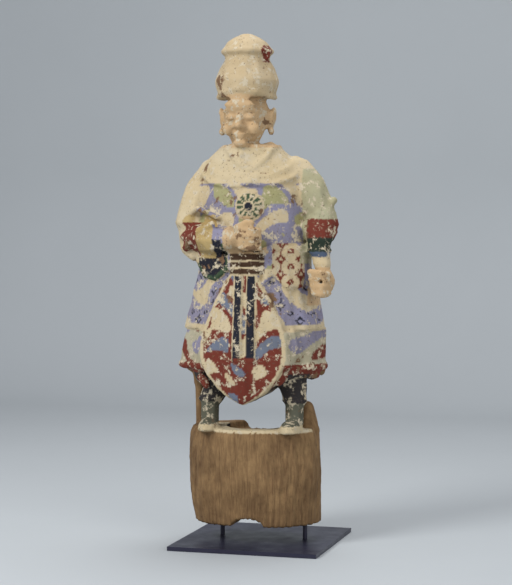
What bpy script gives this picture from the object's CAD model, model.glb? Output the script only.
"""Looks of a carved, painted guardian figure on its log and black steel mount.

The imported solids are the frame. The figure's solid is remeshed finely, given grain and fold
marks, and painted by places; the steel plate and rods keep their solids and get a new material.
"""

import math

import bpy
import numpy as np
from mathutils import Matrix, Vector


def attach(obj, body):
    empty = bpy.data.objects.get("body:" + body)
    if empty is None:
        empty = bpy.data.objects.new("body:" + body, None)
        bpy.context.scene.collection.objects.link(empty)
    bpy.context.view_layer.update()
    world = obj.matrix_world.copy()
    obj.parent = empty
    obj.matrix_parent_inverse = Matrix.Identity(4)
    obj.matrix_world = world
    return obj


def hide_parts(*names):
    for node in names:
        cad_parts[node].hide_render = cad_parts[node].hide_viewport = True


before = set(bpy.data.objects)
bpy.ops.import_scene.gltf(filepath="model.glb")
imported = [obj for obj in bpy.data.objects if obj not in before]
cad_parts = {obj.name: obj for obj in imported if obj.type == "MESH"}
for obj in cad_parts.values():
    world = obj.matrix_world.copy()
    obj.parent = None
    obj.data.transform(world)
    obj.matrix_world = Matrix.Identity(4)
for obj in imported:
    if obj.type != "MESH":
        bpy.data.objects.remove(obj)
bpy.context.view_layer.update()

FIGURE_NODE = "guardian_figure"
MOUNT_NODES = ("mount_plate", "mount_rod_left", "mount_rod_right")

# Places in millimetres, as in the part's source
MM = 0.001
BODY_X = -6.0
BODY_Y = -32.0
APRON_X = BODY_X + 2
LOG_TOP = 235.0
APRON_TIP_Z = 286.0
HEM_Z = 352.0
TUNIC_HEM_Z = 432.0
WAIST_Z = 550.0
COLLAR_Z = 745.0
NECK_Z = 786.0
HEAD_X = -14.0
HEAD_Y = -60.0
HAT_Z = 897.0
MEDAL = (8.0, 672.0)
SASH_X = 2.0
BOWL_X = -8.0
BOWL_Y = 12.0

# Fine mesh
VOXEL = 0.0033
SMOOTH_FACTOR = 0.5
SMOOTH_PASSES = 3

# Camera, fitted to the corners of the square plate in the photograph
CAMERA_PLACE = (0.9735, -3.4563, 0.6693)
CAMERA_AZIMUTH = 15.91
CAMERA_DOWN = 2.70
FOCAL_PIXELS = 1800.0
FRAME_HEIGHT = 585.0
SENSOR = 36.0

# Paints, as sRGB
CREAM = (0.78, 0.73, 0.62)
LAVENDER = (0.53, 0.53, 0.64)
MOSS = (0.62, 0.62, 0.47)
RED = (0.44, 0.21, 0.17)
NIGHT = (0.13, 0.14, 0.19)
GREEN = (0.24, 0.32, 0.25)
BROWN = (0.27, 0.20, 0.15)
SKY = (0.42, 0.46, 0.55)
PALE_ROBE = (0.68, 0.67, 0.60)
PALE_SLEEVE = (0.66, 0.66, 0.56)
YELLOW_CUFF = (0.70, 0.62, 0.44)
DARK_SLEEVE = (0.17, 0.22, 0.19)
BLUE_BAND = (0.30, 0.36, 0.47)
FLESH = (0.76, 0.66, 0.53)
HAT = (0.75, 0.69, 0.58)
TROUSER = (0.21, 0.20, 0.21)
BOOT = (0.36, 0.37, 0.33)
RAW_WOOD = (0.53, 0.44, 0.31)
DARK_WOOD = (0.09, 0.08, 0.075)

# Tones of the flaking paint and the bare wood, as sRGB
STAIN = (0.86, 0.80, 0.68)
GESSO = (0.74, 0.69, 0.59)
OLD_WOOD = (0.45, 0.35, 0.26)
SPECK = (0.33, 0.27, 0.22)
GRAIN_DARK = (0.42, 0.32, 0.22)
GRAIN_LIGHT = (0.57, 0.46, 0.32)
CRACK = (0.22, 0.17, 0.13)
WEATHERED = (0.42, 0.34, 0.31)

# Apron: half widths in millimetres, and how far down the leaf begins to close
APRON_TOP_WIDTH = 22
APRON_SWELL = 64
APRON_CLOSES = 0.62
APRON_EDGE = 8

# Rounded lower flaps of the jacket, as outlines (x, z)
LEFT_FLAP = ((-34, 600), (-34, 548), (-62, 526), (-94, 532), (-114, 560), (-114, 600))
RIGHT_FLAP = ((52, 600), (54, 540), (78, 510), (106, 514), (114, 550), (114, 600))


def linear(colour):
    return tuple(c ** 2.2 for c in colour)


def opaque(colour):
    return linear(colour) + (1,)


def between(values, low, high):
    return (values > low) & (values < high)


def inside(x, z, outline):
    """Which points (x, z) lie inside a closed outline."""
    result = np.zeros(len(x), bool)
    count = len(outline)
    for i in range(count):
        x1, z1 = outline[i]
        x2, z2 = outline[(i + 1) % count]
        crosses = (z1 > z) != (z2 > z)
        edge = (x2 - x1) * (z - z1) / ((z2 - z1) or 1e-9) + x1
        result ^= crosses & (x < edge)
    return result


def remeshed_copy(node, voxel):
    """A fine, even copy of a CAD node's mesh."""
    piece = bpy.data.objects.new(node.name + "_carving", node.data.copy())
    bpy.context.scene.collection.objects.link(piece)
    remesh = piece.modifiers.new("remesh", "REMESH")
    remesh.mode = "VOXEL"
    remesh.voxel_size = voxel
    smooth = piece.modifiers.new("smooth", "SMOOTH")
    smooth.factor = SMOOTH_FACTOR
    smooth.iterations = SMOOTH_PASSES
    bpy.context.view_layer.update()
    depsgraph = bpy.context.evaluated_depsgraph_get()
    mesh = bpy.data.meshes.new_from_object(piece.evaluated_get(depsgraph))
    piece.modifiers.clear()
    piece.data = mesh
    return piece


def read_points(mesh):
    points = np.empty(len(mesh.vertices) * 3, np.float32)
    normals = np.empty(len(mesh.vertices) * 3, np.float32)
    mesh.vertices.foreach_get("co", points)
    mesh.vertices.foreach_get("normal", normals)
    return points.reshape(-1, 3), normals.reshape(-1, 3)


def carve(mesh):
    """Wood grain, falling folds and gouge marks, as small moves along the normals."""
    points, normals = read_points(mesh)
    x, y, z = (points / MM).T
    angle = np.arctan2(y - BODY_Y, x - BODY_X)
    log = z < LOG_TOP - 4
    wander = 0.5 * np.sin(z / 31) + 0.3 * np.sin(z / 13 + 2 * angle)
    grain = 0.8 * np.sin(42 * angle + 2 * wander) + 0.5 * np.sin(97 * angle + 3 * wander)
    skirt = between(z, HEM_Z - 40, WAIST_Z)
    folds = 0.9 * np.sin(33 * angle + 0.02 * z)
    gouges = np.sin(x / 7 + 3 * np.sin(z / 11)) * np.sin(y / 6 + z / 9) * 0.3
    depth = np.where(log, grain, np.where(skirt, folds, 0)) + gouges
    above_shoulders = z > HEM_Z + 420
    depth = np.where(above_shoulders, 0.25 * gouges, depth)
    moved = points + normals * (depth * MM)[:, None]
    mesh.vertices.foreach_set("co", moved.astype(np.float32).ravel())
    mesh.update()


class Regions:
    """The mesh's points in millimetres, with the base paint and bareness of each."""

    def __init__(self, mesh):
        points, normals = read_points(mesh)
        self.x, self.y, self.z = (points / MM).T
        x, y, z = self.x, self.y, self.z
        self.front = normals[:, 1] < 0.35
        self.angle = np.arctan2(y - BODY_Y, x - BODY_X)
        self.radius = np.hypot((x - BODY_X) / 1.15, y - BODY_Y)
        # A drifting field for cloud patches, and rings on a grid for scrolls
        self.clouds = np.sin(x / 15 + 2 * np.sin(z / 19)) + np.sin(z / 13 + 2 * np.cos(x / 17))
        self.scroll = np.sin(np.hypot(np.mod(x, 34) - 17, np.mod(z, 30) - 15) / 2.3)
        self.colour = np.tile(np.array(linear(CREAM)), (len(x), 1))

    def fill(self, where, paint):
        self.colour[where] = linear(paint)


def paint_robe(r):
    """Lower robe with its red hem, tunic with a cream hem, and the jacket's ground."""
    lower = r.z < TUNIC_HEM_Z
    r.fill(lower, PALE_ROBE)
    r.fill(lower & (r.clouds > 0.9), LAVENDER)
    r.fill(lower & (r.clouds < -1.2), RED)
    r.fill(r.z < HEM_Z + 13, RED)
    tunic = between(r.z, TUNIC_HEM_Z, WAIST_Z)
    r.fill(tunic, LAVENDER)
    r.fill(tunic & (r.clouds > 0.7), CREAM)
    r.fill(tunic & (r.scroll > 0.86) & (r.clouds < 0), NIGHT)
    r.fill(between(r.z, TUNIC_HEM_Z - 3, TUNIC_HEM_Z + 9), CREAM)
    jacket = between(r.z, WAIST_Z, COLLAR_Z)
    r.fill(jacket, LAVENDER)
    r.fill(jacket & (r.clouds > 0.8), MOSS)
    r.fill(jacket & (r.clouds < -0.8), CREAM)


def paint_apron(r):
    """The leaf-shaped apron and the double sash on it; returns where the apron is."""
    down = np.clip((WAIST_Z - r.z) / (WAIST_Z - APRON_TIP_Z), 0, 1)
    closing = np.clip((down - APRON_CLOSES) / (1 - APRON_CLOSES), 0, 1)
    taper = np.cos(np.pi / 2 * closing) ** 0.7
    swell = np.sin(np.pi / 2 * np.clip(down / APRON_CLOSES, 0, 1))
    width = (APRON_TOP_WIDTH + APRON_SWELL * swell) * taper
    off_centre = np.abs(r.x - APRON_X)
    apron = r.front & between(r.z, APRON_TIP_Z, WAIST_Z) & (off_centre < width)
    apron &= r.y < BODY_Y - 55
    r.fill(apron, RED)
    r.fill(apron & (r.clouds > 0.8), CREAM)
    r.fill(apron & (r.clouds < -1.0), SKY)
    r.fill(apron & (off_centre > width - APRON_EDGE), CREAM)
    off_band = np.abs(np.abs(r.x - SASH_X) - 13)
    sash = apron & (off_band < 10) & (r.z > 372)
    r.fill(sash, CREAM)
    r.fill(sash & (off_band < 7), NIGHT)
    r.fill(apron & (np.abs(r.x - SASH_X - 2) < 20) & between(r.z, 366, 380), RED)
    return apron


def paint_jacket(r):
    """Belt, rounded flaps and the medallion on the chest."""
    belt = r.front & between(r.x, -30, 40) & between(r.z, 538, 588) & (r.y < BODY_Y - 50)
    r.fill(belt, BROWN)
    r.fill(belt & (np.abs(np.mod(r.z, 14) - 7) < 1.6), CREAM)
    chest = r.front & (r.y < BODY_Y - 40)
    border = inside(r.x + 6, r.z - 8, LEFT_FLAP) & inside(r.x - 6, r.z - 8, LEFT_FLAP)
    r.fill(chest & inside(r.x, r.z, LEFT_FLAP), GREEN)
    r.fill(chest & border, NIGHT)
    right = chest & inside(r.x, r.z, RIGHT_FLAP)
    r.fill(right, CREAM)
    r.fill(right & (r.scroll > 0.6), RED)
    from_centre = np.hypot(r.x - MEDAL[0], r.z - MEDAL[1])
    spokes = np.sin(12 * np.arctan2(r.z - MEDAL[1], r.x - MEDAL[0]))
    medal = chest & (from_centre < 29)
    r.fill(medal, CREAM)
    r.fill(medal & between(from_centre, 11, 25) & (spokes > -0.2), GREEN)
    r.fill(medal & (from_centre < 8), NIGHT)


def paint_arms(r):
    """Cape collar, both sleeves with their bands, and the two fists."""
    r.fill(between(r.z, 716, 800) & (r.radius < 112), CREAM)
    # Bent arm, on the figure's right
    r.fill((r.x < -104) & between(r.z, 560, COLLAR_Z), CREAM)
    r.fill((r.x < -60) & (r.y < -84) & between(r.z, 570, 655), YELLOW_CUFF)
    r.fill((r.x < -98) & (r.y < -84) & between(r.z, 575, 640), RED)
    # Hanging arm, on the figure's left, from the shoulder down
    r.fill((r.x > 100) & between(r.z, 560, COLLAR_Z), PALE_SLEEVE)
    forearm = r.x > 112
    r.fill(forearm & between(r.z, 605, 648), RED)
    r.fill(forearm & between(r.z, 582, 612), DARK_SLEEVE)
    r.fill((r.x > 118) & between(r.z, 574, 584), BLUE_BAND)
    r.fill(forearm & between(r.z, 555, 574), CREAM)
    r.fill(forearm & between(r.z, 480, 555), FLESH)
    # Fist on the chest
    r.fill(between(r.x, -36, 50) & (r.y < -118) & between(r.z, 580, 652), FLESH)


def paint_head(r):
    """Face and neck, the cap with its arched border, and its small red tie."""
    r.fill(r.z > NECK_Z, FLESH)
    border = HAT_Z - 8 - 16 * ((r.x - HEAD_X) / 60) ** 2
    r.fill(r.z > border, HAT)
    r.fill((r.z > HAT_Z - 30) & (r.y > HEAD_Y + 30), HAT)
    tie = between(r.z, 952, 984) & (r.x > HEAD_X + 38) & (r.y < HEAD_Y + 4)
    r.fill(tie, RED)


def paint_legs(r, apron):
    hanging = r.y < BODY_Y - 66
    r.fill((r.z < 346) & (r.radius < 112) & ~apron & ~hanging, TROUSER)
    r.fill(between(r.z, 244, 286), BOOT)
    r.fill(between(r.z, 228, 244), CREAM)


def paint_wood(r):
    """The log, the raw wood left beside the legs and on the back; returns where it is bare."""
    beside_legs = (r.x < -116) | ((r.x > 74) & (r.y > -32))
    wood = (r.z < 229) | ((r.z < 345) & beside_legs)
    wood |= (r.y > 20) & (r.z < TUNIC_HEM_Z)
    wood |= (r.y > 34) & (r.z < 700)
    r.fill(wood, RAW_WOOD)
    in_bowl = ((r.x - BOWL_X) / 66) ** 2 + ((r.y - BOWL_Y) / 82) ** 2 < 1
    r.fill(in_bowl & between(r.z, LOG_TOP - 19, LOG_TOP - 2), DARK_WOOD)
    return wood


def paint_regions(mesh):
    """Stores each point's base paint, its bareness and its place around the axis."""
    r = Regions(mesh)
    paint_robe(r)
    apron = paint_apron(r)
    paint_jacket(r)
    paint_arms(r)
    paint_head(r)
    paint_legs(r, apron)
    bare = np.where(paint_wood(r), 1.0, 0.0)
    paint = mesh.color_attributes.new("paint", "FLOAT_COLOR", "POINT")
    painted = np.column_stack([r.colour, bare]).astype(np.float32)
    paint.data.foreach_set("color", painted.ravel())
    around = mesh.attributes.new("around", "FLOAT_VECTOR", "POINT")
    unrolled = np.column_stack([r.angle * 0.12, r.radius * MM, r.z * MM]).astype(np.float32)
    around.data.foreach_set("vector", unrolled.ravel())


class Nodes:
    """A short way to add and join shader nodes."""

    def __init__(self, name):
        self.material = bpy.data.materials.new(name)
        self.material.use_nodes = True
        self.tree = self.material.node_tree
        self.shader = self.tree.nodes["Principled BSDF"]

    def feed(self, value, socket):
        if isinstance(value, bpy.types.NodeSocket):
            self.tree.links.new(value, socket)
        else:
            socket.default_value = value

    def add(self, kind, inputs=None, **settings):
        node = self.tree.nodes.new(kind)
        for key, value in settings.items():
            setattr(node, key, value)
        for key, value in (inputs or {}).items():
            self.feed(value, node.inputs[key])
        return node

    def mix(self, factor, first, second, blend="MIX"):
        node = self.add("ShaderNodeMix", data_type="RGBA", blend_type=blend)
        # Sockets 0, 6 and 7 are the factor and the two colours, and output 2 the colour
        self.feed(factor, node.inputs[0])
        self.feed(first, node.inputs[6])
        self.feed(second, node.inputs[7])
        return node.outputs[2]

    def noise(self, place, scale, detail=5.0, rough=0.6):
        settings = {"Vector": place, "Scale": scale, "Detail": detail, "Roughness": rough}
        return self.add("ShaderNodeTexNoise", settings).outputs["Fac"]

    def ramp(self, value, low, high):
        settings = {"Value": value, "From Min": low, "From Max": high}
        return self.add("ShaderNodeMapRange", settings).outputs["Result"]

    def math(self, first, second, operation):
        return self.add("ShaderNodeMath", {0: first, 1: second}, operation=operation).outputs[0]

    def bump(self, height, strength, distance):
        settings = {"Height": height, "Strength": strength, "Distance": distance}
        self.link(self.add("ShaderNodeBump", settings).outputs["Normal"], "Normal")

    def link(self, value, socket):
        self.tree.links.new(value, self.shader.inputs[socket])


def painted_wood():
    """Flaking paint on a pale ground over wood, from the painted regions of the mesh."""
    n = Nodes("polychrome")
    place = n.add("ShaderNodeTexCoord").outputs["Object"]
    paint = n.add("ShaderNodeAttribute", attribute_name="paint")
    around = n.add("ShaderNodeAttribute", attribute_name="around").outputs["Vector"]
    along_grain = {"Vector": around, "Scale": (1.0, 0.35, 0.16)}
    stretch = n.add("ShaderNodeMapping", along_grain).outputs["Vector"]
    stains = n.noise(place, 16.0)
    flakes = n.ramp(n.noise(place, 62.0, 9.0, 0.72), 0.54, 0.58)
    losses = n.ramp(n.noise(place, 23.0, 9.0, 0.7), 0.60, 0.63)
    specks = n.ramp(n.noise(place, 240.0, 6.0, 0.7), 0.60, 0.66)
    grain = n.noise(stretch, 210.0, 8.0, 0.65)
    cracks = n.ramp(n.noise(stretch, 620.0, 5.0, 0.7), 0.60, 0.70)
    # Paint, then the pale ground where it has flaked, then old wood and specks
    tone = n.mix(stains, paint.outputs["Color"], opaque(STAIN), "MULTIPLY")
    ground = n.mix(flakes, tone, opaque(GESSO))
    worn = n.mix(losses, ground, opaque(OLD_WOOD))
    spotted = n.mix(specks, worn, opaque(SPECK))
    # Bare wood with streaks along the grain
    streaks = n.mix(n.ramp(grain, 0.32, 0.68), opaque(GRAIN_DARK), opaque(GRAIN_LIGHT))
    cracked = n.mix(cracks, streaks, opaque(CRACK))
    weathered = n.mix(n.ramp(stains, 0.40, 0.65), cracked, opaque(WEATHERED), "MULTIPLY")
    timber = n.mix(0.45, cracked, weathered)
    n.link(n.mix(paint.outputs["Alpha"], spotted, timber), "Base Color")
    n.shader.inputs["Roughness"].default_value = 0.82
    n.shader.inputs["Specular IOR Level"].default_value = 0.25
    relief = n.math(grain, n.math(flakes, losses, "ADD"), "SUBTRACT")
    n.bump(relief, 0.35, 0.0016)
    return n.material


def black_steel():
    """Satin black paint with a faint orange-peel and rubbed patches."""
    n = Nodes("steel_paint")
    place = n.add("ShaderNodeTexCoord").outputs["Object"]
    dark, rubbed = opaque((0.13, 0.12, 0.19)), opaque((0.20, 0.20, 0.27))
    n.link(n.mix(n.noise(place, 9.0), dark, rubbed), "Base Color")
    n.link(n.ramp(n.noise(place, 30.0), -0.6, 2.2), "Roughness")
    n.shader.inputs["Metallic"].default_value = 0.2
    n.bump(n.noise(place, 900.0, 2.0), 0.12, 0.0003)
    return n.material


def floor_material():
    n = Nodes("floor_paper")
    place = n.add("ShaderNodeTexCoord").outputs["Object"]
    shade, pale = opaque((0.66, 0.68, 0.69)), opaque((0.70, 0.72, 0.73))
    n.link(n.mix(n.noise(place, 0.8), shade, pale), "Base Color")
    n.shader.inputs["Roughness"].default_value = 0.9
    return n.material


def shade_smooth(mesh):
    for polygon in mesh.polygons:
        polygon.use_smooth = True


def make_figure():
    piece = remeshed_copy(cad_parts[FIGURE_NODE], VOXEL)
    carve(piece.data)
    paint_regions(piece.data)
    shade_smooth(piece.data)
    piece.data.materials.clear()
    piece.data.materials.append(painted_wood())
    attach(piece, "root")
    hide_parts("guardian_figure")


def dress_mount():
    steel = black_steel()
    for name in MOUNT_NODES:
        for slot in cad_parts[name].material_slots:
            slot.material = steel


def make_stage():
    """A pale sweep: a floor that curves up into a wall behind the figure, in metres."""
    front, bend_start, bend = -3.0, 2.2, 0.8
    half_width, wall_top, bend_steps = 6, 4.0, 12
    below_plate = 0.0005
    profile = [(front, 0.0), (bend_start, 0.0)]
    for step in range(1, bend_steps + 1):
        turn = math.pi / 2 * step / bend_steps
        profile.append((bend_start + bend * math.sin(turn), bend * (1 - math.cos(turn))))
    profile.append((bend_start + bend, wall_top))
    verts = [(x, y, z - below_plate) for y, z in profile for x in (-half_width, half_width)]
    faces = [(2 * i, 2 * i + 1, 2 * i + 3, 2 * i + 2) for i in range(len(profile) - 1)]
    mesh = bpy.data.meshes.new("sweep")
    mesh.from_pydata(verts, [], faces)
    shade_smooth(mesh)
    mesh.materials.append(floor_material())
    sweep = bpy.data.objects.new("sweep", mesh)
    bpy.context.scene.collection.objects.link(sweep)


def add_light(name, place, target, size, watts):
    light = bpy.data.lights.new(name, "AREA")
    light.shape = "DISK"
    light.size = size
    light.energy = watts
    lamp = bpy.data.objects.new(name, light)
    lamp.location = place
    aim = Vector(target) - Vector(place)
    lamp.rotation_euler = aim.to_track_quat("-Z", "Y").to_euler()
    bpy.context.scene.collection.objects.link(lamp)


def light_scene():
    """Key light on the camera's left, a wide fill on its right, one above, and a soft sky."""
    middle = (0.0, 0.0, 0.55)
    add_light("key", (-1.6, -2.6, 2.4), middle, 1.4, 95)
    add_light("fill", (2.6, -2.2, 1.4), middle, 2.0, 38)
    add_light("top", (0.2, 0.6, 3.0), middle, 1.6, 40)
    world = bpy.data.worlds.new("studio")
    world.use_nodes = True
    background = world.node_tree.nodes["Background"]
    background.inputs["Color"].default_value = (0.9, 0.92, 1.0, 1)
    background.inputs["Strength"].default_value = 0.45
    bpy.context.scene.world = world


def make_camera():
    data = bpy.data.cameras.new("photo_camera")
    data.sensor_fit = "AUTO"
    data.sensor_width = SENSOR
    data.lens = SENSOR * FOCAL_PIXELS / FRAME_HEIGHT
    camera = bpy.data.objects.new("photo_camera", data)
    camera.location = CAMERA_PLACE
    camera.rotation_euler = (math.radians(90 - CAMERA_DOWN), 0, math.radians(CAMERA_AZIMUTH))
    bpy.context.scene.collection.objects.link(camera)
    bpy.context.scene.camera = camera


make_camera()
make_figure()
dress_mount()
make_stage()
light_scene()
bpy.context.scene.view_settings.view_transform = "Standard"
